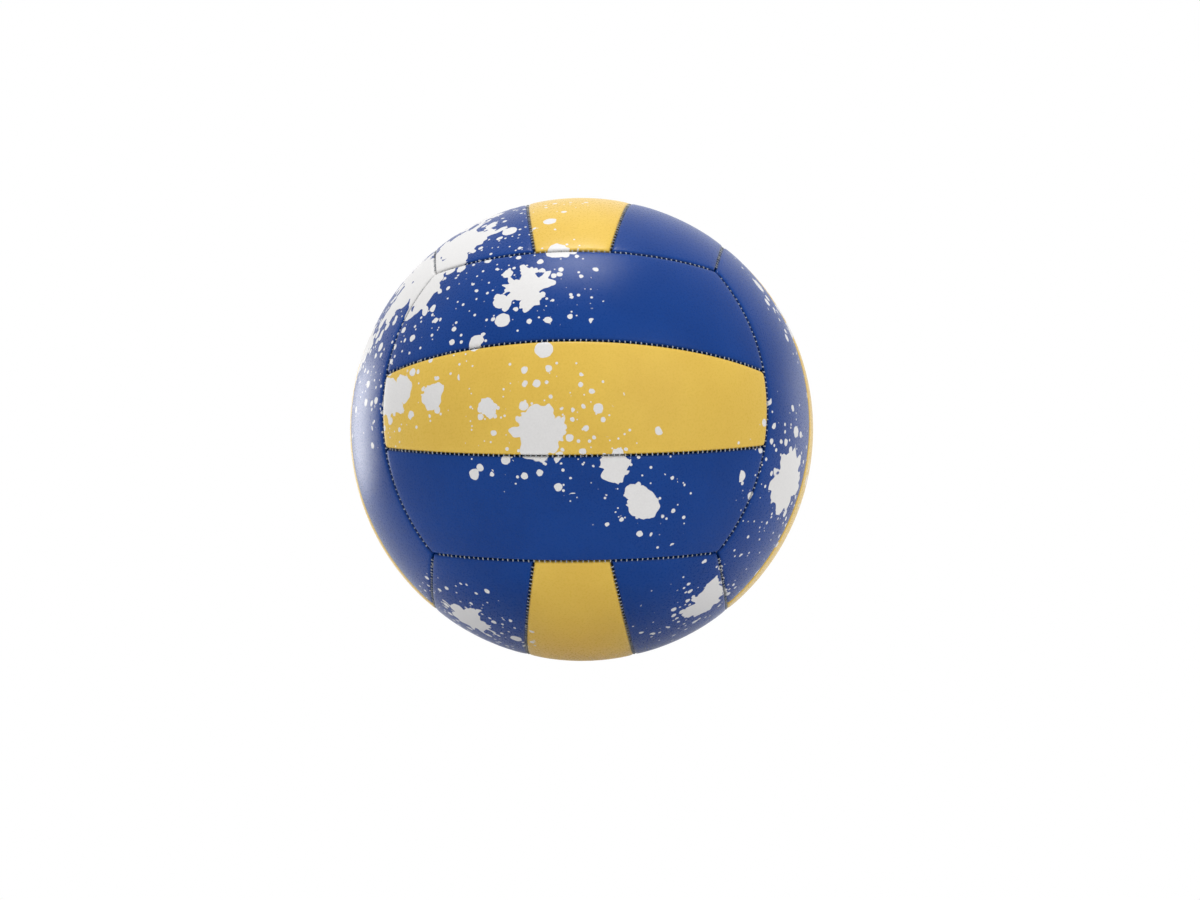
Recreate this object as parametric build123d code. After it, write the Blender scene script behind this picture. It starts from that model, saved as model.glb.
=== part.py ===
from build123d import *
from collections import namedtuple
import math
import os

# A stitched volleyball: eighteen padded panels sewn edge to edge round an air bladder.
# The origin is the ball's centre, +Z is up, the front face looks along -Y and the valve along +Y.
# The casing is laid out on a cube, as six faces of three strips, and the strips of faces that share
# a cube edge run square to each other. Every seam is an arc of a circle on the ball. An end seam is cut
# by a cone whose tip is near the ball's centre, and a strip seam, almost a great circle, by a plane.

# Driving dimensions of the ball, in millimetres
BALL_RADIUS = 105.0              # 660 mm round
SEAM_BOW = 11.8                  # how far an end seam bows past the cube's edge, along the surface
MIDDLE_STRIP_WIDTH = 47.6        # straight across a middle strip, halfway along it
MIDDLE_STRIP_END_WIDTH = 32.0    # straight across a middle strip at its ends

# Layers of a panel, from the outside inwards
COVER_THICKNESS = 0.8            # synthetic leather skin, turned in all round to its seams
FOAM_THICKNESS = 2.6             # cushion inside the skin
BACKING_THICKNESS = 0.5          # woven cloth over the foam and the turned edges
BLADDER_WALL = 0.7               # butyl rubber
BOND_GAP = 0.1                   # glue line between one layer and the next

# Edges and seams
SEAM_GAP = 0.4                   # between the turned edges of two neighbours
EDGE_ROUND = 1.3                 # where the skin turns in to its seam
CORNER_ROUND = 3.0               # a panel's corner, seen from outside
THREAD_DIAMETER = 0.7            # line of stitches in the groove of a seam
THREAD_CLEARANCE = 0.05          # between the thread and the skin on each side
CORNER_MARGIN = 6.0              # bare length of an end seam at each three-panel corner
TEE_MARGIN = 4.0                 # bare length of a strip seam where it meets an end seam
THREAD_SIDES = 6

# Needle valve
NEEDLE_BORE_DIAMETER = 2.2       # a pump needle slides in it
NEEDLE_BORE_DEPTH = 10.0
CORE_DIAMETER = 5.0
CORE_LENGTH = 13.0
CORE_CLEARANCE = 0.05            # between the core and its housing
NECK_DIAMETER = 8.0
NECK_CLEARANCE = 0.2             # between the neck and the layers that it passes through
VALVE_RECESS = 0.5               # the valve's mouth lies this far below the ball's surface
FLANGE_DIAMETER = 24.0
FLANGE_THICKNESS = 1.2
STEM_END_DIAMETER = 7.0
STEM_END_WALL = 1.5              # rubber between the core and the air inside
AIR_HOLE_DIAMETER = 1.2

# Radii of the layers
FOAM_OUTER = BALL_RADIUS - COVER_THICKNESS - BOND_GAP
FOAM_INNER = FOAM_OUTER - FOAM_THICKNESS
BACKING_OUTER = FOAM_INNER - BOND_GAP
BACKING_INNER = BACKING_OUTER - BACKING_THICKNESS
BLADDER_OUTER = BACKING_INNER - BOND_GAP
BLADDER_INNER = BLADDER_OUTER - BLADDER_WALL
VALVE_MOUTH = BALL_RADIUS - VALVE_RECESS
CUTTER_MARGIN = 5.0              # how far a cutting tool reaches past what it cuts
TIP_SETBACK = 2.0                # the tip of an end seam's cone lies this far behind the ball's centre

# Seam circles in a face's own frame: x along its strips, y across them and z outwards.
# An end seam passes through the cube's corner and bows past the cube's edge at its middle.
bow = SEAM_BOW / BALL_RADIUS
end_reach = math.pi / 4 + bow
end_lean = math.atan2(math.cos(bow) - math.sqrt(2 / 3), math.sin(bow))
end_tilt = end_lean - math.pi / 4
end_half_angle = end_lean + bow

# A strip seam lies on the plane that gives the middle strip its two widths.
middle_y = MIDDLE_STRIP_WIDTH / 2 / BALL_RADIUS
middle_z = math.sqrt(1 - middle_y**2)
tee_y = MIDDLE_STRIP_END_WIDTH / 2 / BALL_RADIUS
tee_ring = math.sqrt(1 - tee_y**2)
tee_reach = math.acos(math.cos(end_half_angle) / tee_ring) - end_tilt
tee_x = tee_ring * math.sin(tee_reach)
tee_z = tee_ring * math.cos(tee_reach)
strip_tilt = math.atan2(middle_y - tee_y, middle_z - tee_z)
strip_lift = math.asin(middle_y * math.cos(strip_tilt) - middle_z * math.sin(strip_tilt))
strip_half_angle = math.pi / 2 - strip_lift
strip_angle = math.asin(middle_y)

# Face name, outward direction, direction along the strips, and the strips from +y to -y
FACES = [
    ("front", (0, -1, 0), (1, 0, 0), ("upper", "middle", "lower")),
    ("back", (0, 1, 0), (-1, 0, 0), ("upper", "middle", "lower")),
    ("right", (1, 0, 0), (0, 0, 1), ("front", "middle", "back")),
    ("left", (-1, 0, 0), (0, 0, -1), ("front", "middle", "back")),
    ("top", (0, 0, 1), (0, 1, 0), ("left", "middle", "right")),
    ("bottom", (0, 0, -1), (0, -1, 0), ("left", "middle", "right")),
]
VALVE_PANEL = "back_middle"


# A seam's circle: its axis, the direction from the axis to the seam's middle, and its half-angle
SeamCircle = namedtuple("SeamCircle", "axis towards half_angle")


def end_seam(side):
    """Circle of the end seam at the +x or -x end of a face."""
    axis = Vector(-side * math.sin(end_tilt), 0, math.cos(end_tilt))
    towards = Vector(side * math.cos(end_tilt), 0, math.sin(end_tilt))
    return SeamCircle(axis, towards, end_half_angle)


def strip_seam(side):
    """Circle of the strip seam on the +y or -y side of the middle strip."""
    axis = Vector(0, side * math.cos(strip_tilt), -math.sin(strip_tilt))
    towards = Vector(0, side * math.sin(strip_tilt), math.cos(strip_tilt))
    return SeamCircle(axis, towards, strip_half_angle)


def neighbour_seam():
    """Circle of the end seam of the face across the +y edge."""
    axis = Vector(0, math.cos(end_tilt), -math.sin(end_tilt))
    towards = Vector(0, math.sin(end_tilt), math.cos(end_tilt))
    return SeamCircle(axis, towards, end_half_angle)


def annular_sector(inner, outer, start, sweep):
    """Flat face between two radii, from one angle through another, in radians."""
    start_deg = math.degrees(start)
    sweep_deg = math.degrees(sweep)
    inner_arc = CenterArc((0, 0), inner, start_deg, sweep_deg)
    outer_arc = CenterArc((0, 0), outer, start_deg, sweep_deg)
    first_side = Line(inner_arc @ 0, outer_arc @ 0)
    last_side = Line(inner_arc @ 1, outer_arc @ 1)
    return make_face([inner_arc, last_side, outer_arc, first_side])


def seam_cone(seam, growth):
    """Everything inside the cone through a seam's circle, with the circle grown by an angle."""
    ring = BALL_RADIUS * math.sin(seam.half_angle + growth)
    slope = ring / (BALL_RADIUS * math.cos(seam.half_angle + growth) + TIP_SETBACK)
    height = BALL_RADIUS + CUTTER_MARGIN
    base = Plane(origin=(0, 0, 0), x_dir=-seam.towards, z_dir=seam.axis)
    return base * Cone(TIP_SETBACK * slope, (TIP_SETBACK + height) * slope, height,
                       align=(Align.CENTER, Align.CENTER, Align.MIN))


def seam_plane(seam, inset):
    """Plane of a seam's circle, moved along the circle's axis."""
    offset = BALL_RADIUS * math.cos(seam.half_angle) + inset
    return Plane(origin=seam.axis * offset, x_dir=seam.towards, z_dir=seam.axis)


def strip_blank(is_middle, inner, outer):
    """Piece of shell that is larger than a strip all round."""
    first = 2 * strip_angle if is_middle else math.pi / 4 + strip_angle
    last = -first if is_middle else strip_angle / 2
    along = (end_reach + math.pi / 2) / 2
    start_plane = Plane(
        origin=(0, 0, 0), x_dir=(1, 0, 0), z_dir=(0, -math.cos(first), math.sin(first)))
    profile = annular_sector(inner, outer, math.pi / 2 - along, 2 * along)
    return revolve(start_plane * profile, Axis.X, math.degrees(first - last))


def strip_solid(is_middle, inner, outer, inset):
    """One strip between two radii, with its sides set in from the seam lines."""
    turn = inset / BALL_RADIUS
    body = strip_blank(is_middle, inner, outer)
    for side in (1, -1):
        body &= seam_cone(end_seam(side), -turn)
    if is_middle:
        for side in (1, -1):
            body = split(body, seam_plane(strip_seam(side), -inset), Keep.BOTTOM)
    else:
        body = split(body, seam_plane(strip_seam(1), inset), Keep.TOP)
        body -= seam_cone(neighbour_seam(), turn)
    solid = body.solid()
    depth = outer - inner
    corners = [edge for edge in solid.edges() if abs((edge @ 0).length - (edge @ 1).length) > depth / 2]
    return fillet(corners, CORNER_ROUND - inset).solid()


def outermost_face(solid):
    """The face of a panel solid that looks outwards."""
    return solid.faces().filter_by(GeomType.SPHERE).sort_by(lambda face: face.area)[-1]


def make_cover(is_middle):
    """Skin of a panel: a shallow dish with its edges rounded and turned in to the seam."""
    edge = SEAM_GAP / 2
    skin = strip_solid(is_middle, FOAM_INNER, BALL_RADIUS, edge)
    skin = fillet(outermost_face(skin).edges(), EDGE_ROUND).solid()
    hollow = strip_solid(
        is_middle, FOAM_INNER - CUTTER_MARGIN, BALL_RADIUS - COVER_THICKNESS, edge + COVER_THICKNESS)
    return (skin - hollow).solid()


def make_foam(is_middle):
    """Foam cushion that fills the skin's dish."""
    edge = SEAM_GAP / 2 + COVER_THICKNESS + BOND_GAP
    return strip_solid(is_middle, FOAM_INNER, FOAM_OUTER, edge)


def make_backing(is_middle):
    """Cloth glued over the foam and the skin's turned edge."""
    return strip_solid(is_middle, BACKING_INNER, BACKING_OUTER, SEAM_GAP / 2)


def make_bladder():
    """Air bladder: a rubber ball turned about the valve's axis, with a hole for the valve's neck."""
    hole_angle = math.asin((NECK_DIAMETER / 2 + NECK_CLEARANCE) / BLADDER_OUTER)
    wall = annular_sector(BLADDER_INNER, BLADDER_OUTER, -math.pi / 2, math.pi - hole_angle)
    return revolve(wall, Axis.Y).solid()


def valve_plane():
    """Plane at the ball's centre whose normal points out along the valve."""
    return Plane(origin=(0, 0, 0), x_dir=(1, 0, 0), z_dir=(0, 1, 0))


def neck_hole():
    """Cutter for the layers that the valve's neck passes through."""
    radius = NECK_DIAMETER / 2 + NECK_CLEARANCE
    depth = BALL_RADIUS - BLADDER_INNER + 2 * CUTTER_MARGIN
    start = valve_plane().offset(BLADDER_INNER - CUTTER_MARGIN)
    return start * Cylinder(radius, depth, align=(Align.CENTER, Align.CENTER, Align.MIN))


def make_valve_housing():
    """Moulded rubber housing: a neck to the surface, a flange under the bladder and a stem inside."""
    core_seat = VALVE_MOUTH - CORE_LENGTH
    stem_end = core_seat - STEM_END_WALL
    flange_top = BLADDER_INNER - BOND_GAP
    flange_under = flange_top - FLANGE_THICKNESS
    neck = NECK_DIAMETER / 2
    rim = FLANGE_DIAMETER / 2
    top_arc = RadiusArc((neck, math.sqrt(flange_top**2 - neck**2)),
                        (rim, math.sqrt(flange_top**2 - rim**2)), flange_top)
    under_arc = RadiusArc((neck, math.sqrt(flange_under**2 - neck**2)),
                          (rim, math.sqrt(flange_under**2 - rim**2)), flange_under)
    outline = [
        Line((0, VALVE_MOUTH), (neck, VALVE_MOUTH)),
        Line((neck, VALVE_MOUTH), top_arc @ 0),
        top_arc,
        Line(top_arc @ 1, under_arc @ 1),
        under_arc,
        Line(under_arc @ 0, (STEM_END_DIAMETER / 2, stem_end)),
        Line((STEM_END_DIAMETER / 2, stem_end), (0, stem_end)),
        Line((0, stem_end), (0, VALVE_MOUTH)),
    ]
    body = revolve(make_face(outline), Axis.Y)
    core_hole = Cylinder(CORE_DIAMETER / 2 + CORE_CLEARANCE, CORE_LENGTH + CUTTER_MARGIN,
                         align=(Align.CENTER, Align.CENTER, Align.MIN))
    air_hole = Cylinder(AIR_HOLE_DIAMETER / 2, 2 * STEM_END_WALL)
    body -= valve_plane().offset(core_seat) * core_hole
    body -= valve_plane().offset(core_seat) * air_hole
    return body.solid()


def make_valve_core():
    """Soft plug with the needle's bore, closed at its inner end until a needle pushes through."""
    plug = Cylinder(CORE_DIAMETER / 2, CORE_LENGTH, align=(Align.CENTER, Align.CENTER, Align.MAX))
    bore = Cylinder(NEEDLE_BORE_DIAMETER / 2, NEEDLE_BORE_DEPTH,
                    align=(Align.CENTER, Align.CENTER, Align.MAX))
    return (valve_plane().offset(VALVE_MOUTH) * (plug - bore)).solid()


def seam_thread(seam, turn, margin):
    """Thread in a seam's groove, that far each way from its middle less a bare margin."""
    reach = EDGE_ROUND + SEAM_GAP / 2
    contact = EDGE_ROUND + THREAD_CLEARANCE + THREAD_DIAMETER / 2
    radius = BALL_RADIUS - EDGE_ROUND + math.sqrt(contact**2 - reach**2)
    sweep = math.degrees(turn - margin / (radius * math.sin(seam.half_angle)))
    centre_line = Axis((0, 0, 0), seam.axis)
    start = seam.towards.rotate(centre_line, -sweep)
    outwards = seam.axis * math.cos(seam.half_angle) + start * math.sin(seam.half_angle)
    section = Plane(origin=outwards * radius, x_dir=outwards, z_dir=seam.axis.cross(start))
    profile = section * RegularPolygon(THREAD_DIAMETER / 2, THREAD_SIDES)
    return revolve(profile, centre_line, 2 * sweep).solid()


def end_thread(side):
    """Thread of the end seam at one end of a face, short of the three-panel corners."""
    corner_turn = math.atan2(1, math.cos(end_tilt) + math.sin(end_tilt))
    return seam_thread(end_seam(side), corner_turn, CORNER_MARGIN)


def strip_thread(side):
    """Thread of the strip seam on one side of the middle strip, short of the end seams."""
    tee_turn = math.atan2(tee_x, tee_y * math.sin(strip_tilt) + tee_z * math.cos(strip_tilt))
    return seam_thread(strip_seam(side), tee_turn, TEE_MARGIN)


def build_nodes():
    """Every piece of the ball by its node's name."""
    nodes = {}
    makers = {"cover": make_cover, "foam": make_foam, "backing": make_backing}
    outer_strip = {layer: maker(False) for layer, maker in makers.items()}
    middle_strip = {layer: maker(True) for layer, maker in makers.items()}
    end_threads = []
    strip_threads = []
    for face, outward, along, strips in FACES:
        plane = Plane(origin=(0, 0, 0), x_dir=along, z_dir=outward)
        half_turn = plane * Rotation(0, 0, 180)
        for strip, place, layers in zip(
                strips, (plane.location, plane.location, half_turn), (outer_strip, middle_strip, outer_strip)):
            panel = face + "_" + strip
            for layer, solid in layers.items():
                placed = place * solid
                if panel == VALVE_PANEL:
                    placed = (placed - neck_hole()).solid()
                nodes[panel + "_" + layer] = placed
        for side in (1, -1):
            end_threads.append(plane.location * end_thread(side))
            strip_threads.append(plane.location * strip_thread(side))
    nodes["end_seam_thread"] = Compound(end_threads)
    nodes["strip_seam_thread"] = Compound(strip_threads)
    nodes["bladder"] = make_bladder()
    nodes["valve_housing"] = make_valve_housing()
    nodes["valve_core"] = make_valve_core()
    return nodes


os.makedirs("parts", exist_ok=True)
for name, shape in build_nodes().items():
    shape.label = name
    export_step(shape, os.path.join("parts", name + ".step"))
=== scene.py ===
"""Looks of the volleyball: sewn covers, stitches, printed splashes, rubber valve, floor, light and camera."""

import math
import random

import bpy
import numpy as np
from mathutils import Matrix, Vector


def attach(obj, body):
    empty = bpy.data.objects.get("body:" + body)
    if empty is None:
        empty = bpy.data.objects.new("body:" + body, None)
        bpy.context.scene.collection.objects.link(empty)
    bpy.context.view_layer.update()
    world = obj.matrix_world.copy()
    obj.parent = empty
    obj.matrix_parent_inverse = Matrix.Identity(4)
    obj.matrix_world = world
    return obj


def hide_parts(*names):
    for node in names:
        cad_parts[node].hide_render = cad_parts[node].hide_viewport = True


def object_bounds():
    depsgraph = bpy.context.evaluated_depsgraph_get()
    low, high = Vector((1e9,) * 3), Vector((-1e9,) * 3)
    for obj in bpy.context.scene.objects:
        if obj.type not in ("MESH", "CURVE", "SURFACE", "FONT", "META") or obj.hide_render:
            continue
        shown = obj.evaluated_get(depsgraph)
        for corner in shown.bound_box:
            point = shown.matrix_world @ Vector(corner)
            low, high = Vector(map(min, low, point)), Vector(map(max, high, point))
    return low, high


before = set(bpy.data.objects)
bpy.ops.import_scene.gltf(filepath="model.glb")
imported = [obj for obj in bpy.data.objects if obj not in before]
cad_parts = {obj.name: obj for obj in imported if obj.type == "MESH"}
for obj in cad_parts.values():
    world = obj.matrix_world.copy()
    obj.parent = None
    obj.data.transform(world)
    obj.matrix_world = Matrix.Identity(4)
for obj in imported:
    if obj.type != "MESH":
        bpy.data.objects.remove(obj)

cad_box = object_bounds()

MM = 0.001
BODY = "root"

# Seam layout, as the frame has it
BALL_RADIUS = round((cad_box[1].z - cad_box[0].z) / 2, 4)
SEAM_BOW = 11.8 * MM
MIDDLE_STRIP_WIDTH = 47.6 * MM
MIDDLE_STRIP_END_WIDTH = 32 * MM
SEAM_GAP = 0.4 * MM

# Panel covers
EDGE_ROUND = 1.3 * MM
EDGE_STEPS = 5
GRID_STEP = 1.14 * MM
CORNER_BLEND = 0.5 * MM
CORNER_DEPTH = 1.9 * MM
CROWN_DEPTH = 0.25 * MM
CROWN_REACH = 4 * MM
PUCKER_DEPTH = 0.22 * MM
PUCKER_REACH = 1.1 * MM
LIP_DEPTH = 3.4 * MM
COVER_THICKNESS = 0.8 * MM
INSIDE_KEPT = 0.12

# Stitches
STITCH_PITCH = 2.28 * MM
STITCH_SPAN = 1.3 * MM
STITCH_RADIUS = 0.26 * MM
STITCH_SIDES = 6
STITCH_CUTS = 3
STITCH_CROWN = -0.56 * MM
STITCH_SINK = 0.3 * MM
STITCH_TURN = 0.12
STITCH_SIZE = (0.92, 1.06)
STITCH_SLACK = (-0.32 * MM, 0.08 * MM)
CORNER_MARGIN = 2.6 * MM
TEE_MARGIN = 1.7 * MM

# Valve opening
VALVE_HOLE_RADIUS = 4.2 * MM
VALVE_HOLE_SIDES = 64
VALVE_DISH_DEPTH = 0.5 * MM
VALVE_DISH_REACH = 6.5 * MM
VALVE_EDGE_ANGLE = 50

# Camera, in the picture's own measure
PICTURE_WIDTH = 1200
CAMERA_AZIMUTH = 2.75
CAMERA_ELEVATION = -7.22
CAMERA_DISTANCE = 0.892
CAMERA_LENS = 58.6
SENSOR_WIDTH = 36
CAMERA_NEAR = 0.01
PICTURE_SHIFT = (18.4, -20.6)

# Colours, linear
BLUE = (0.003, 0.041, 0.216, 1)
BLUE_DEEP = (0.0024, 0.036, 0.195, 1)
YELLOW = (0.665, 0.447, 0.078, 1)
YELLOW_DEEP = (0.635, 0.418, 0.070, 1)
PRINT_WHITE = (0.66, 0.652, 0.648, 1)
THREAD_WHITE = (0.38, 0.40, 0.42, 1)
THREAD_SHADE = (0.26, 0.28, 0.31, 1)
FOAM_SHADE = (0.32, 0.28, 0.2, 1)
FOAM_PALE = (0.68, 0.62, 0.5, 1)
CLOTH_SHADE = (0.3, 0.3, 0.31, 1)
CLOTH_PALE = (0.55, 0.54, 0.52, 1)
FLOOR_PALE = (0.88, 0.88, 0.875, 1)
FLOOR_SHADE = (0.86, 0.86, 0.86, 1)

# Other finishes: sizes of their patterns in millimetres, and depths
FIBRE_SIZE = 0.25
FIBRE_DEPTH = 0.15 * MM
THREAD_TONE_SIZE = 9
FOAM_CELL = 0.625
FOAM_DEPTH = 0.2 * MM
CLOTH_WAVE = 2 * math.pi / 7
CLOTH_DEPTH = 0.1 * MM
BLOOM_SIZE = 4
RUBBER_GRAIN = 0.3
RUBBER_DEPTH = 0.05 * MM
SPECKLE_SIZE = 40
SPECKLE_DEPTH = 0.02 * MM

# Rubbers: dark and light grey and roughness
BLADDER_RUBBER = (0.012, 0.03, 0.4)
HOUSING_RUBBER = (0.010, 0.022, 0.45)
CORE_RUBBER = (0.018, 0.035, 0.5)

# Finish of the covers: sizes of its patterns in millimetres, and shares
COVER_GRAIN = 0.07 * MM
COVER_SPECULAR = 0.125
COVER_ROUGHNESS = 0.24
MOTTLE_SIZE = 26
PORE_SIZE = 0.85
WEAVE_ACROSS = 0.62
WEAVE_ALONG = 0.9
# Painted shade in the seams' grooves: its share, its extra share between the stitches, how much of it the
# print takes away, and its reach off the seam in millimetres
SEAM_SHADE = 0.2
GAP_SHADE = 0.5
INK_OVER_SEAM = 0.6
SHADE_REACH = 0.9

# Print: waviness, lobe and lump sizes and the drops' edge in millimetres, the rest as shares
SWAY_SIZE = 11
SWAY_DEPTH = 9
FINGER_SIZE = 0.44
FINGER_RISE = (0.36, 0.66)
FINGER_REACH = 0.44
FINGER_ROOT = 0.2
LOBE_SIZE = 6
LOBE_SMOOTHNESS = 0.4
LOBE_LEAST = 0.06
LOBE_REACH = 0.6
BLOB_REACH = 0.66
BLOB_EDGE = 0.012
DROP_FADE = (0.7, 2.4)
DROP_EDGE = 0.1
DROP_SCATTER = 0.75
DROP_LUMP_SIZE = 2.4

# Kinds of drops: cell, share of the cells filled, and least and most radius, in millimetres
BIG_DROPS = (10, 0.85, 1.0, 4.4)
SMALL_DROPS = (4.6, 0.95, 0.5, 2.1)
SPRAY_DROPS = (2.7, 0.6, 0.3, 0.8)

# Floor and light
FLOOR_SIZE = 12
FLOOR_FADE = (0.35, 1.4)
FLOOR_GLOW = 0.36
SURROUND_LEVEL = 0.70

# Soft lamps: name, place, width and height in metres, and watts
LAMPS = [
    ("overhead_softbox", (-0.02, -0.27, 1.33), 0.56, 0.27, 11.8),
    ("right_fill_softbox", (1.0, -1.35, 0.45), 1.1, 1.1, 4.5),
    ("left_rim_softbox", (-1.02, 0.84, 0.1), 0.6, 0.6, 6),
    ("right_rim_softbox", (1.0, 0.9, 0.1), 0.6, 0.6, 1.0),
    ("table_softbox", (0, -0.3, -0.9), 1.6, 1.6, 3.2),
]

# Each face: its outward and along directions and the names of its three strips
FACES = {
    "front": ((0, -1, 0), (1, 0, 0), ("upper", "middle", "lower")),
    "back": ((0, 1, 0), (-1, 0, 0), ("upper", "middle", "lower")),
    "right": ((1, 0, 0), (0, 0, 1), ("front", "middle", "back")),
    "left": ((-1, 0, 0), (0, 0, -1), ("front", "middle", "back")),
    "top": ((0, 0, 1), (0, 1, 0), ("left", "middle", "right")),
    "bottom": ((0, 0, -1), (0, -1, 0), ("left", "middle", "right")),
}

# Printed splashes: face, place along and across it, reach, in millimetres, and how far fingers run out
SPLASHES = [
    ("front", -66, 60, 36, 0.9),
    ("front", -50, 74, 26, 0.8),
    ("front", -18, 47, 15, 1.0),
    ("front", -72, 8, 11, 0.1),
    ("front", -58, 4, 9, 0.2),
    ("front", -12, -14, 16, 0.4),
    ("front", -34, -4, 6, 0.2),
    ("front", 18, -27, 10, 0.5),
    ("front", 30, -42, 11, 0.1),
    ("top", -82, 6, 8, 0.1),
    ("top", -30, 46, 16, 0.8),
    ("top", 24, -52, 22, 0.9),
    ("top", 38, 8, 13, 0.3),
    ("right", 26, -78, 15, 0.8),
    ("right", 6, -56, 13, 0.5),
    ("right", 46, 12, 18, 0.9),
    ("right", -30, 44, 20, 0.4),
    ("left", -4, 72, 12, 0.5),
    ("left", -34, 30, 17, 0.9),
    ("left", 36, -24, 21, 0.4),
    ("bottom", 34, 47, 16, 0.9),
    ("bottom", 40, -57, 16, 0.9),
    ("bottom", -20, -30, 20, 0.5),
    ("bottom", -48, 28, 15, 0.9),
    ("back", -40, 50, 22, 0.8),
    ("back", 26, 44, 14, 0.3),
    ("back", 56, -16, 17, 0.9),
    ("back", -20, -48, 20, 0.4),
    ("back", 34, -60, 12, 0.8),
]


# Seam layout, worked out on a ball of radius one
bow = SEAM_BOW / BALL_RADIUS
end_lean = math.atan2(math.cos(bow) - math.sqrt(2 / 3), math.sin(bow))
end_tilt = end_lean - math.pi / 4
end_half_angle = end_lean + bow
corner_turn = math.atan2(1, math.cos(end_tilt) + math.sin(end_tilt))
middle_y = MIDDLE_STRIP_WIDTH / 2 / BALL_RADIUS
middle_z = math.sqrt(1 - middle_y**2)
tee_y = MIDDLE_STRIP_END_WIDTH / 2 / BALL_RADIUS
tee_ring = math.sqrt(1 - tee_y**2)
tee_reach = math.acos(math.cos(end_half_angle) / tee_ring) - end_tilt
tee_x = tee_ring * math.sin(tee_reach)
tee_z = tee_ring * math.cos(tee_reach)
strip_tilt = math.atan2(middle_y - tee_y, middle_z - tee_z)
strip_lift = math.asin(middle_y * math.cos(strip_tilt) - middle_z * math.sin(strip_tilt))
tee_turn = math.atan2(tee_x, tee_y * math.sin(strip_tilt) + tee_z * math.cos(strip_tilt))


class SeamCircle:
    """A seam of one face: a circle about an axis, from the middle of the seam out to both of its ends."""

    def __init__(self, axis, towards, half_angle, turn, margin):
        self.axis = np.array(axis, float)
        self.towards = np.array(towards, float)
        self.aside = np.cross(self.axis, self.towards)
        self.half_angle = half_angle
        self.ring = BALL_RADIUS * math.sin(half_angle)
        self.sewn = self.ring * turn - margin

    def distance(self, points):
        """How far points are inside the circle, along the ball."""
        return BALL_RADIUS * (self.half_angle - np.arccos(np.clip(points @ self.axis, -1, 1)))

    def along(self, points):
        """How far points are from the middle of the seam, along it."""
        return self.ring * np.arctan2(points @ self.aside, points @ self.towards)

    def is_sewn(self, points):
        """One beside the seam's stitches, zero beside its bare ends."""
        return np.abs(self.along(points)) < self.sewn + STITCH_PITCH / 2

    def pucker(self, points):
        """One where a stitch pulls the edge down, fading to zero between the stitches and off the seam."""
        wave = 0.5 + 0.5 * np.cos(2 * math.pi * self.along(points) / STITCH_PITCH)
        near = np.exp(-np.abs(self.distance(points)) / PUCKER_REACH)
        return wave * near * self.is_sewn(points)


def end_seam(side):
    """The seam across the three strips' ends at one end of a face."""
    axis = (-side * math.sin(end_tilt), 0, math.cos(end_tilt))
    towards = (side * math.cos(end_tilt), 0, math.sin(end_tilt))
    return SeamCircle(axis, towards, end_half_angle, corner_turn, CORNER_MARGIN)


def strip_seam(side):
    """The seam along one side of the middle strip."""
    axis = (0, -side * math.cos(strip_tilt), math.sin(strip_tilt))
    towards = (0, side * math.sin(strip_tilt), math.cos(strip_tilt))
    return SeamCircle(axis, towards, math.pi / 2 + strip_lift, tee_turn, TEE_MARGIN)


def neighbour_seam():
    """The end seam of the next face, along the outer strip's far side."""
    axis = (0, math.cos(end_tilt), -math.sin(end_tilt))
    towards = (0, math.sin(end_tilt), math.cos(end_tilt))
    return SeamCircle(axis, towards, end_half_angle, corner_turn, CORNER_MARGIN)


def face_axes(face):
    """A face's along, across and outward directions, as the columns of a matrix."""
    outward, along, _ = FACES[face]
    across = np.cross(outward, along)
    return np.column_stack([along, across, outward]).astype(float)


# Modelling helpers


def pick(piece):
    """Makes one object the only selected and active one."""
    bpy.ops.object.select_all(action="DESELECT")
    piece.select_set(True)
    bpy.context.view_layer.objects.active = piece


def apply_modifier(piece, kind, **settings):
    """Adds a modifier with its settings and applies it."""
    pick(piece)
    modifier = piece.modifiers.new(kind.title(), kind)
    for name, value in settings.items():
        setattr(modifier, name, value)
    bpy.ops.object.modifier_apply(modifier=modifier.name)


def mesh_points(mesh):
    """A mesh's vertices as rows of numbers."""
    points = np.empty(len(mesh.vertices) * 3)
    mesh.vertices.foreach_get("co", points)
    return points.reshape(-1, 3)


def place_points(mesh, points):
    """Puts a mesh's vertices at rows of numbers."""
    mesh.vertices.foreach_set("co", np.ascontiguousarray(points, float).ravel())
    mesh.update()


def add_piece(name, mesh, material, slot, *nodes):
    """Shows a mesh as a piece that stands for CAD nodes, with the given material; the slot is not used."""
    piece = bpy.data.objects.new(name, mesh)
    bpy.context.collection.objects.link(piece)
    mesh.materials.clear()
    mesh.materials.append(material)
    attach(piece, BODY)
    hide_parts(*nodes)
    return piece


# Panel covers


def grid_places(length):
    """Places from -1 to 1 along a side, close together over its rounded edges and even between them."""
    turn = np.linspace(0, math.pi / 2, EDGE_STEPS + 1)
    edge = EDGE_ROUND * (1 - np.cos(turn))
    steps = round((length - 2 * EDGE_ROUND) / GRID_STEP)
    middle = np.linspace(EDGE_ROUND, length - EDGE_ROUND, steps + 1)[1:-1]
    places = np.concatenate([edge, middle, length - edge[::-1]])
    return 2 * places / length - 1


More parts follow.
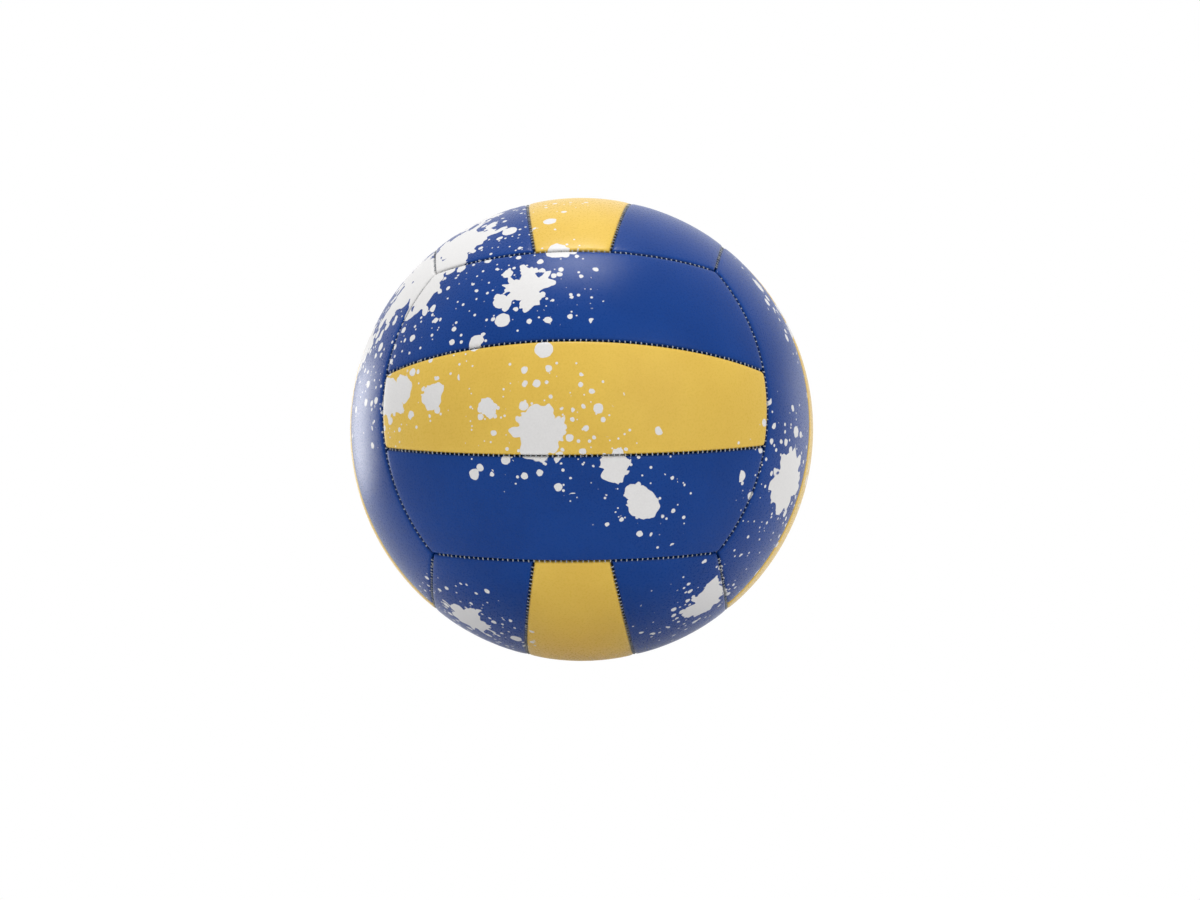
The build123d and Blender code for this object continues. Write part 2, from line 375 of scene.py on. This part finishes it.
def strip_directions(middle, along, across):
    """Directions from the ball's centre for places on a strip, each row on a circle along the strip."""
    inset = SEAM_GAP / 2 / BALL_RADIUS
    if middle:
        tilt = across * strip_tilt
        lift = across * (strip_lift - inset)
    else:
        share = (across + 1) / 2
        tilt = strip_tilt + share * (end_tilt - strip_tilt)
        first = strip_lift + inset
        last = math.pi / 2 - end_half_angle - inset
        lift = first + share * (last - first)
    offset = np.sin(lift)
    ring = np.cos(lift)
    reach_out = ring * np.cos(tilt) * math.cos(end_tilt)
    reach_along = -ring * math.sin(end_tilt)
    target = math.cos(end_half_angle) + offset * np.sin(tilt) * math.cos(end_tilt)
    end_turn = np.arctan2(reach_along, reach_out) + np.arccos(target / np.hypot(reach_out, reach_along))
    turn = along * (end_turn - inset)
    x = ring * np.sin(turn)
    y = offset * np.cos(tilt) + ring * np.cos(turn) * np.sin(tilt)
    z = -offset * np.sin(tilt) + ring * np.cos(turn) * np.cos(tilt)
    return np.column_stack([x, y, z])


def cover_profile(edge_distance):
    """How far the cover lies below the ball's radius: a rounded edge, then a slight crown."""
    inside = np.clip(edge_distance, 0, EDGE_ROUND)
    rounded = EDGE_ROUND - np.sqrt(EDGE_ROUND**2 - (EDGE_ROUND - inside) ** 2)
    outside = np.clip(-edge_distance, 0, CORNER_DEPTH - EDGE_ROUND)
    crown = CROWN_DEPTH * np.exp(-np.clip(edge_distance, 0, None) / CROWN_REACH)
    return rounded + outside + crown


def turn_in_edges(cover):
    """Extrudes the cover's rim towards the ball's centre, down to the foam's underside."""
    pick(cover)
    bpy.ops.object.mode_set(mode="EDIT")
    bpy.ops.mesh.select_mode(type="EDGE")
    bpy.ops.mesh.select_all(action="DESELECT")
    bpy.ops.mesh.select_non_manifold(extend=False, use_boundary=True)
    bpy.ops.mesh.extrude_edges_move()
    shrink = (BALL_RADIUS - LIP_DEPTH) / (BALL_RADIUS - EDGE_ROUND)
    bpy.ops.transform.resize(value=(shrink, shrink, shrink), center_override=(0, 0, 0))
    bpy.ops.object.mode_set(mode="OBJECT")


def thin_out_inside(cover):
    """Thins out the hidden inner wall, which Solidify gave the second material number."""
    mesh = cover.data
    pick(cover)
    bpy.ops.object.mode_set(mode="EDIT")
    bpy.ops.mesh.select_mode(type="FACE")
    bpy.ops.mesh.select_all(action="DESELECT")
    bpy.ops.object.mode_set(mode="OBJECT")
    for face in mesh.polygons:
        face.select = face.material_index == 1
    bpy.ops.object.mode_set(mode="EDIT")
    bpy.ops.mesh.decimate(ratio=INSIDE_KEPT)
    bpy.ops.object.mode_set(mode="OBJECT")
    mesh.polygons.foreach_set("material_index", np.zeros(len(mesh.polygons), int))


def model_cover(middle):
    """Models one kind of cover, middle or outer strip, lying on a face that looks along z."""
    columns = grid_places(2 * BALL_RADIUS * tee_turn)
    rows = grid_places(MIDDLE_STRIP_WIDTH)
    bpy.ops.object.select_all(action="DESELECT")
    bpy.ops.mesh.primitive_grid_add(x_subdivisions=len(columns) - 1, y_subdivisions=len(rows) - 1, size=2)
    cover = bpy.context.object
    mesh = cover.data
    flat = mesh_points(mesh)
    along = columns[np.rint((flat[:, 0] + 1) / 2 * (len(columns) - 1)).astype(int)]
    across = rows[np.rint((flat[:, 1] + 1) / 2 * (len(rows) - 1)).astype(int)]
    directions = strip_directions(middle, along, across)
    inwards = 1 if middle else -1
    seams = [end_seam(1), end_seam(-1), strip_seam(1), strip_seam(-1) if middle else neighbour_seam()]
    gaps = np.array([seam.distance(directions) for seam in seams])
    gaps[2:] *= inwards
    gaps -= SEAM_GAP / 2
    edge_distance = -CORNER_BLEND * np.log(np.exp(-gaps / CORNER_BLEND).sum(axis=0))
    pucker = sum(seam.pucker(directions) for seam in seams)
    radius = BALL_RADIUS - cover_profile(edge_distance) - PUCKER_DEPTH * pucker
    place_points(mesh, directions * radius[:, None])
    # For the finish and its painted seam shade: the place on the strip and off its nearest seam, and the
    # place along that seam with a flag of one millimetre where it is sewn
    strip = np.column_stack([
        along * BALL_RADIUS * tee_turn,
        across * MIDDLE_STRIP_WIDTH / 2,
        gaps.min(axis=0),
    ])
    closest = gaps.argmin(axis=0)
    sewn = np.column_stack([
        np.choose(closest, [seam.along(directions) for seam in seams]),
        np.choose(closest, [seam.is_sewn(directions) for seam in seams]) * MM,
        np.zeros(len(closest)),
    ])
    for name, rows_of_numbers in (("strip", strip), ("sewn", sewn)):
        attribute = mesh.attributes.new(name, "FLOAT_VECTOR", "POINT")
        attribute.data.foreach_set("vector", rows_of_numbers.ravel())
    turn_in_edges(cover)
    for _ in range(2):
        mesh.materials.append(None)
    apply_modifier(cover, "SOLIDIFY", thickness=COVER_THICKNESS, offset=-1, material_offset=1)
    thin_out_inside(cover)
    pick(cover)
    bpy.ops.object.shade_smooth()
    return cover


def open_for_valve(cover):
    """Dishes the cover towards the valve, cuts the hole for the valve's neck and marks its new edge."""
    points = mesh_points(cover.data)
    off_axis = np.hypot(points[:, 0], points[:, 2])
    dish = VALVE_DISH_DEPTH * np.exp(-((off_axis / VALVE_DISH_REACH) ** 2)) * (points[:, 1] > 0)
    points[:, 1] -= dish
    place_points(cover.data, points)
    bpy.ops.object.select_all(action="DESELECT")
    bpy.ops.mesh.primitive_cylinder_add(
        vertices=VALVE_HOLE_SIDES,
        radius=VALVE_HOLE_RADIUS,
        depth=4 * LIP_DEPTH,
        location=(0, BALL_RADIUS, 0),
        rotation=(math.pi / 2, 0, 0),
    )
    cutter = bpy.context.object
    apply_modifier(cover, "BOOLEAN", object=cutter, operation="DIFFERENCE", solver="EXACT")
    bpy.data.objects.remove(cutter)
    strip = cover.data.attributes["strip"].data
    for vertex in cover.data.vertices:
        if math.hypot(vertex.co.x, vertex.co.z) < 2 * VALVE_HOLE_RADIUS and vertex.co.y > 0:
            strip[vertex.index].vector = (-vertex.co.x, vertex.co.z, MIDDLE_STRIP_WIDTH / 2)
    pick(cover)
    bpy.ops.object.shade_smooth_by_angle(angle=math.radians(VALVE_EDGE_ANGLE))


def sew_covers(blue, yellow):
    """Copies the two kinds of cover to all the panels of the ball."""
    masters = {True: model_cover(True), False: model_cover(False)}
    half_turn = np.diag([-1.0, -1.0, 1.0])
    for face, (_, _, strips) in FACES.items():
        for number, strip in enumerate(strips):
            middle = number == 1
            axes = face_axes(face)
            if number == 2:
                axes = axes @ half_turn
            mesh = masters[middle].data.copy()
            place_points(mesh, mesh_points(mesh) @ axes.T)
            panel = f"{face}_{strip}"
            material = yellow if middle else blue
            slot = "yellow_cover" if middle else "blue_cover"
            cover = add_piece(f"{panel}_panel", mesh, material, slot, f"{panel}_cover")
            if panel == "back_middle":
                open_for_valve(cover)
    for master in masters.values():
        bpy.data.objects.remove(master)


# Stitches


def model_stitch():
    """Models one stitch: a short thread across the seam, crowned, with its ends sunk into both panels."""
    bpy.ops.object.select_all(action="DESELECT")
    bpy.ops.mesh.primitive_cylinder_add(
        vertices=STITCH_SIDES,
        radius=STITCH_RADIUS,
        depth=STITCH_SPAN,
        rotation=(0, math.pi / 2, 0),
    )
    stitch = bpy.context.object
    bpy.ops.object.transform_apply(location=False, rotation=True, scale=False)
    bpy.ops.object.mode_set(mode="EDIT")
    bpy.ops.mesh.select_mode(type="EDGE")
    bpy.ops.mesh.select_all(action="DESELECT")
    bpy.ops.object.mode_set(mode="OBJECT")
    mesh = stitch.data
    for edge in mesh.edges:
        first, second = (mesh.vertices[number].co for number in edge.vertices)
        edge.select = abs(first.x - second.x) > STITCH_SPAN / 2
    bpy.ops.object.mode_set(mode="EDIT")
    bpy.ops.mesh.subdivide(number_cuts=STITCH_CUTS)
    bpy.ops.object.mode_set(mode="OBJECT")
    points = mesh_points(mesh)
    sink = (np.abs(points[:, 0]) / (STITCH_SPAN / 2)) ** 3
    points[:, 2] += STITCH_CROWN - STITCH_SINK * sink
    faces = [list(face.vertices) for face in mesh.polygons]
    bpy.data.objects.remove(stitch)
    return points, faces


def sew_row(seam, axes, stitch, chance):
    """Points of all the stitches along one seam of a face."""
    count = int(seam.sewn / STITCH_PITCH)
    rows = []
    for number in range(-count, count + 1):
        turn = number * STITCH_PITCH / seam.ring
        level = seam.towards * math.cos(turn) + seam.aside * math.sin(turn)
        out = seam.axis * math.cos(seam.half_angle) + level * math.sin(seam.half_angle)
        ahead = seam.aside * math.cos(turn) - seam.towards * math.sin(turn)
        over = np.cross(out, ahead)
        slant = chance.uniform(-STITCH_TURN, STITCH_TURN)
        across = over * math.cos(slant) + ahead * math.sin(slant)
        onward = ahead * math.cos(slant) - over * math.sin(slant)
        size = chance.uniform(*STITCH_SIZE)
        radius = BALL_RADIUS + chance.uniform(*STITCH_SLACK)
        places = stitch * size @ np.array([across, onward, out]) + out * radius
        rows.append(places @ axes.T)
    return rows


def sew_stitches(name, node, seams, material):
    """Sews every seam of one kind and joins its stitches into one piece."""
    points, faces = model_stitch()
    chance = random.Random(name)
    copies = []
    for face in FACES:
        for seam in seams:
            copies += sew_row(seam, face_axes(face), points, chance)
    firsts = range(0, len(copies) * len(points), len(points))
    joined = [[first + corner for corner in face] for first in firsts for face in faces]
    mesh = bpy.data.meshes.new(name)
    mesh.from_pydata(np.concatenate(copies).tolist(), [], joined)
    mesh.shade_smooth()
    add_piece(name, mesh, material, "seam_thread", node)


# Materials


class Wire:
    """A socket of a material's nodes. Arithmetic on wires adds Math nodes."""

    def __init__(self, tree, socket=None):
        self.tree = tree
        self.socket = socket

    def node(self, kind, sockets=None, output=0, **settings):
        """Adds a node: its settings first, then the values or links of its sockets."""
        node = self.tree.nodes.new(kind)
        for name, value in settings.items():
            setattr(node, name, value)
        for key, value in (sockets or {}).items():
            if isinstance(value, Wire):
                self.tree.links.new(value.socket, node.inputs[key])
            else:
                node.inputs[key].default_value = value
        return Wire(self.tree, node.outputs[output] if node.outputs else None)

    def maths(self, operation, *terms):
        return self.node("ShaderNodeMath", dict(enumerate(terms)), operation=operation)

    def __add__(self, other):
        return self.maths("ADD", self, other)

    __radd__ = __add__

    def __sub__(self, other):
        return self.maths("SUBTRACT", self, other)

    def __rsub__(self, other):
        return self.maths("SUBTRACT", other, self)

    def __mul__(self, other):
        return self.maths("MULTIPLY", self, other)

    __rmul__ = __mul__

    def __truediv__(self, other):
        return self.maths("DIVIDE", self, other)

    def __rtruediv__(self, other):
        return self.maths("DIVIDE", other, self)

    def __lt__(self, other):
        return self.maths("LESS_THAN", self, other)

    def __gt__(self, other):
        return self.maths("GREATER_THAN", self, other)

    def least(self, other):
        return self.maths("MINIMUM", self, other)

    def most(self, other):
        return self.maths("MAXIMUM", self, other)

    def wave(self, length):
        """The angle of a wave of that length."""
        return self * (2 * math.pi / length)

    def sine(self):
        return self.maths("SINE", self)

    def cosine(self):
        return self.maths("COSINE", self)

    def vector(self, operation, *terms, output=0):
        return self.node("ShaderNodeVectorMath", dict(enumerate(terms)), output, operation=operation)

    def times(self, scale):
        """A vector made longer or shorter."""
        return self.node("ShaderNodeVectorMath", {0: self, "Scale": scale}, operation="SCALE")

    def rise(self, low, high):
        """Zero below low, one above high, and smooth between."""
        return self.node("ShaderNodeMapRange", {0: self, 1: low, 2: high}, interpolation_type="SMOOTHSTEP")

    def choose(self, first, second):
        """Mixes two colours, this wire being the share of the second."""
        return self.node("ShaderNodeMix", {0: self, 6: first, 7: second}, 2, data_type="RGBA")

    def choose_vector(self, first, second):
        """Mixes two vectors, this wire being the share of the second."""
        return self.node("ShaderNodeMix", {0: self, 4: first, 5: second}, 1, data_type="VECTOR")

    def choose_number(self, first, second):
        """Mixes two numbers, this wire being the share of the second."""
        return self.node("ShaderNodeMix", {0: self, 2: first, 3: second}, data_type="FLOAT")

    def tint(self, colour):
        """Multiplies a colour by this wire."""
        sockets = {0: 1.0, 6: colour, 7: self}
        return self.node("ShaderNodeMix", sockets, 2, data_type="RGBA", blend_type="MULTIPLY")

    def noise(self, size, detail=2, output=0):
        """Noise with features of one size, on a vector in millimetres."""
        return self.node("ShaderNodeTexNoise", {"Vector": self, "Scale": 1 / size, "Detail": detail}, output)

    def parts(self):
        """A vector's three numbers."""
        node = self.tree.nodes.new("ShaderNodeSeparateXYZ")
        self.tree.links.new(self.socket, node.inputs[0])
        return [Wire(self.tree, socket) for socket in node.outputs]


def new_material(name):
    """A material, its shader node and a wire with the place on the object in millimetres."""
    material = bpy.data.materials.new(name)
    material.use_nodes = True
    tree = material.node_tree
    shader = tree.nodes["Principled BSDF"]
    place = Wire(tree).node("ShaderNodeTexCoord", output="Object")
    return material, shader, place.times(1 / MM)


def finish_shader(shader, colour, roughness, height, depth):
    """Feeds a shader its colour, its roughness and its bump of that depth."""
    tree = shader.id_data
    bump = colour.node("ShaderNodeBump", {"Height": height, "Distance": depth})
    for key, wire in (("Base Color", colour), ("Roughness", roughness), ("Normal", bump)):
        tree.links.new(wire.socket, shader.inputs[key])


def splash_centre(face, along, across):
    """A splash's middle on the ball, in millimetres."""
    radius = BALL_RADIUS / MM
    outward = math.sqrt(radius**2 - along**2 - across**2)
    return tuple(face_axes(face) @ np.array([along, across, outward]))


def drops(place, fade, size, share, low, high):
    """Round drops with radii from low to high, clear of each other, in a fading share of the cells."""
    cell = {"Vector": place, "Scale": 1 / size, "Randomness": DROP_SCATTER}
    spread = place.node("ShaderNodeTexVoronoi", cell)
    red, green, _ = place.node("ShaderNodeTexVoronoi", cell, "Color").parts()
    room = place.node("ShaderNodeTexVoronoi", cell, "Radius", feature="N_SPHERE_RADIUS") * size
    radius = (low + green * green * (high - low)).least(room)
    edge = radius - spread * size
    return edge.rise(-DROP_EDGE, DROP_EDGE) * (red < share * fade)


def splash_print(place):
    """One on the printed splashes: blobs with lobes or fingers, drops round them and fine spray."""
    sway = place.vector("SUBTRACT", place.noise(SWAY_SIZE, 2, "Color"), (0.5, 0.5, 0.5))
    wavy = place.vector("ADD", place, sway.times(SWAY_DEPTH))
    nearest = None
    for face, along, across, reach, spikes in SPLASHES:
        off = wavy.vector("SUBTRACT", wavy, splash_centre(face, along, across))
        near = off.vector("LENGTH", off, output=1) / reach
        if nearest is None:
            nearest, offset, spiked = near, off, spikes
            continue
        closer = near < nearest
        offset = closer.choose_vector(offset, off)
        spiked = closer.choose_number(spiked, spikes)
        nearest = nearest.least(near)
    bearing = offset.vector("NORMALIZE", offset)
    fingers = bearing.noise(FINGER_SIZE, 1).rise(*FINGER_RISE)
    cells = {"Vector": place, "Scale": 1 / LOBE_SIZE, "Smoothness": LOBE_SMOOTHNESS}
    lobes = 0.5 - place.node("ShaderNodeTexVoronoi", cells, feature="SMOOTH_F1")
    fingered = spiked * (FINGER_REACH * fingers - FINGER_ROOT)
    outline = BLOB_REACH + fingered + (LOBE_LEAST + LOBE_REACH * spiked) * lobes
    blob = (outline - nearest).rise(-BLOB_EDGE, BLOB_EDGE)
    fade = 1 - nearest.rise(*DROP_FADE)
    lumpy = place.vector("ADD", place, place.noise(DROP_LUMP_SIZE, 1, "Color"))
    big = drops(lumpy, fade, *BIG_DROPS)
    small = drops(lumpy, fade, *SMALL_DROPS)
    spray = drops(place, fade, *SPRAY_DROPS)
    return blob.most(big).most(small).most(spray)


def cover_material(name, colour, deep):
    """Printed, fine-grained synthetic leather: the panel's colour under white splashes, with painted shade in
    the seams' grooves and between the stitches.
    """
    material, shader, place = new_material(name)
    strip = place.node("ShaderNodeAttribute", output="Vector", attribute_name="strip").times(1 / MM)
    along, across, seam = strip.parts()
    sewn = place.node("ShaderNodeAttribute", output="Vector", attribute_name="sewn").times(1 / MM)
    seam_along, stitched, _ = sewn.parts()
    # Painted shade between the stitches: zero at each stitch, one halfway between
    between = 0.5 - 0.5 * seam_along.wave(STITCH_PITCH / MM).cosine()
    ink = splash_print(place)
    # Where the painted seam shade falls: one at the seam's edge, fading to zero over SHADE_REACH, less under
    # the print
    seam_shade_mask = (1 - seam.rise(0, SHADE_REACH)) * (1 - INK_OVER_SEAM * ink)
    mottle = place.noise(MOTTLE_SIZE, 3).rise(0.3, 0.7)
    weave = across.wave(WEAVE_ACROSS).sine() * along.wave(WEAVE_ALONG).sine()
    pores = place.noise(PORE_SIZE, 2)
    printed = ink.choose(mottle.choose(deep, colour), PRINT_WHITE)
    # Painted shade in the seams' grooves, darker between the stitches, times a tone that varies at random
    # with the pores
    seam_shade_and_tone = (1 - seam_shade_mask * (SEAM_SHADE + GAP_SHADE * stitched * between)) * (0.94 + 0.12 * pores)
    roughness = COVER_ROUGHNESS + 0.08 * pores + 0.05 * ink
    height = 0.2 * pores + 0.16 * weave + 0.25 * ink
    shader.inputs["Specular IOR Level"].default_value = COVER_SPECULAR
    finish_shader(shader, seam_shade_and_tone.tint(printed), roughness, height, COVER_GRAIN)
    return material


def thread_material():
    """Pale twisted sewing thread."""
    material, shader, place = new_material("seam_thread_twist")
    fibres = place.noise(FIBRE_SIZE, 2)
    tone = place.noise(THREAD_TONE_SIZE, 1).rise(0.3, 0.7)
    colour = tone.choose(THREAD_SHADE, THREAD_WHITE)
    finish_shader(shader, colour, 0.7 + 0.2 * fibres, fibres, FIBRE_DEPTH)
    return material


def foam_material():
    """Pale open foam of the cushions."""
    material, shader, place = new_material("cushion_foam")
    cells = place.node("ShaderNodeTexVoronoi", {"Vector": place, "Scale": 1 / FOAM_CELL})
    colour = cells.choose(FOAM_SHADE, FOAM_PALE)
    finish_shader(shader, colour, 0.85 + 0.1 * cells, cells, FOAM_DEPTH)
    return material


def backing_material():
    """Woven cloth behind the panels."""
    material, shader, place = new_material("backing_weave")
    x, y, z = place.parts()
    weave = (x + y).wave(CLOTH_WAVE).sine() * (y - z).wave(CLOTH_WAVE).sine()
    shade = place.noise(5, 2)
    colour = shade.choose(CLOTH_SHADE, CLOTH_PALE)
    finish_shader(shader, colour, 0.8 + 0.1 * shade, weave, CLOTH_DEPTH)
    return material


def rubber_material(name, dark, light, roughness):
    """Moulded black rubber with a faint grey bloom."""
    material, shader, place = new_material(name)
    bloom = place.noise(BLOOM_SIZE, 4).rise(0.35, 0.75)
    grain = place.noise(RUBBER_GRAIN, 2)
    colour = bloom.choose((dark, dark, dark, 1), (light, light, light, 1))
    finish_shader(shader, colour, roughness + 0.15 * grain, grain, RUBBER_DEPTH)
    return material


def dress_node(name, material):
    """Gives a CAD node that stays its finished material."""
    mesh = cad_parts[name].data
    mesh.materials.clear()
    mesh.materials.append(material)


def dress_inside():
    """Materials for the pieces under the covers and for the valve."""
    foam = foam_material()
    backing = backing_material()
    for face, (_, _, strips) in FACES.items():
        for strip in strips:
            dress_node(f"{face}_{strip}_foam", foam)
            dress_node(f"{face}_{strip}_backing", backing)
    dress_node("bladder", rubber_material("bladder_rubber", *BLADDER_RUBBER))
    dress_node("valve_housing", rubber_material("valve_rubber", *HOUSING_RUBBER))
    dress_node("valve_core", rubber_material("valve_core_rubber", *CORE_RUBBER))


# Floor, light and camera


def seen_ray(tree):
    """One for rays that show the background: the camera's, mirrored ones and those through glass."""
    rays = tree.nodes.new("ShaderNodeLightPath")
    seen = Wire(tree, rays.outputs["Is Camera Ray"])
    for ray in ("Is Glossy Ray", "Is Transmission Ray"):
        seen = seen.most(Wire(tree, rays.outputs[ray]))
    return seen


def set_floor():
    """A pale light table under the ball: seen from above only, glowing a little, white far off."""
    bpy.ops.object.select_all(action="DESELECT")
    bpy.ops.mesh.primitive_plane_add(size=FLOOR_SIZE, location=(0, 0, cad_box[0].z))
    floor = bpy.context.object
    floor.name = "floor"
    material, shader, place = new_material("pale_floor")
    speckle = place.noise(SPECKLE_SIZE, 3)
    colour = speckle.choose(FLOOR_SHADE, FLOOR_PALE)
    finish_shader(shader, colour, 0.75 + 0.1 * speckle, speckle, SPECKLE_DEPTH)
    tree = shader.id_data
    under = place.node("ShaderNodeNewGeometry", output="Backfacing")
    away = place.vector("LENGTH", place, output=1).rise(FLOOR_FADE[0] / MM, FLOOR_FADE[1] / MM)
    clear = place.node("ShaderNodeBsdfTransparent")
    white = place.node("ShaderNodeEmission")
    glow = place.node("ShaderNodeBsdfTranslucent", {"Color": FLOOR_PALE})
    top = place.node("ShaderNodeMixShader", {0: FLOOR_GLOW, 1: Wire(tree, shader.outputs["BSDF"]), 2: glow})
    faded = place.node("ShaderNodeMixShader", {0: away * seen_ray(tree), 1: top, 2: white})
    mixed = place.node("ShaderNodeMixShader", {0: under, 1: faded, 2: clear})
    tree.links.new(mixed.socket, tree.nodes["Material Output"].inputs["Surface"])
    floor.data.materials.append(material)


def set_world():
    """A white surround: full white where it is seen or mirrored, and a softer level as light."""
    world = bpy.data.worlds.new("white_surround")
    bpy.context.scene.world = world
    world.use_nodes = True
    tree = world.node_tree
    background = tree.nodes["Background"]
    background.inputs["Color"].default_value = (1, 1, 1, 1)
    strength = SURROUND_LEVEL + seen_ray(tree) * (1 - SURROUND_LEVEL)
    tree.links.new(strength.socket, background.inputs["Strength"])


def set_lamp(name, place, width, height, energy):
    """A soft lamp that looks at the ball."""
    lamp = bpy.data.lights.new(name, "AREA")
    lamp.shape = "RECTANGLE"
    lamp.size = width
    lamp.size_y = height
    lamp.energy = energy
    holder = bpy.data.objects.new(name, lamp)
    holder.location = place
    holder.rotation_euler = Vector(place).to_track_quat("Z", "Y").to_euler()
    bpy.context.collection.objects.link(holder)


def set_camera():
    """The camera at the picture's viewing angle, level, aimed at the ball's middle."""
    azimuth = math.radians(CAMERA_AZIMUTH)
    elevation = math.radians(CAMERA_ELEVATION)
    level = math.cos(elevation)
    towards = Vector((level * math.sin(azimuth), -level * math.cos(azimuth), math.sin(elevation)))
    place = towards * CAMERA_DISTANCE
    camera = bpy.data.cameras.new("picture_camera")
    camera.sensor_width = SENSOR_WIDTH
    camera.lens = CAMERA_LENS
    camera.clip_start = CAMERA_NEAR
    camera.shift_x = PICTURE_SHIFT[0] / PICTURE_WIDTH
    camera.shift_y = PICTURE_SHIFT[1] / PICTURE_WIDTH
    holder = bpy.data.objects.new("picture_camera", camera)
    holder.location = place
    holder.rotation_euler = place.to_track_quat("Z", "Y").to_euler()
    bpy.context.collection.objects.link(holder)
    bpy.context.scene.camera = holder


sew_covers(
    cover_material("blue_synthetic_leather", BLUE, BLUE_DEEP),
    cover_material("yellow_synthetic_leather", YELLOW, YELLOW_DEEP),
)
thread = thread_material()
sew_stitches("end_seam_stitches", "end_seam_thread", [end_seam(1), end_seam(-1)], thread)
sew_stitches("strip_seam_stitches", "strip_seam_thread", [strip_seam(1), strip_seam(-1)], thread)
dress_inside()
set_floor()
set_world()
for lamp in LAMPS:
    set_lamp(*lamp)
set_camera()
bpy.context.scene.view_settings.view_transform = "Standard"
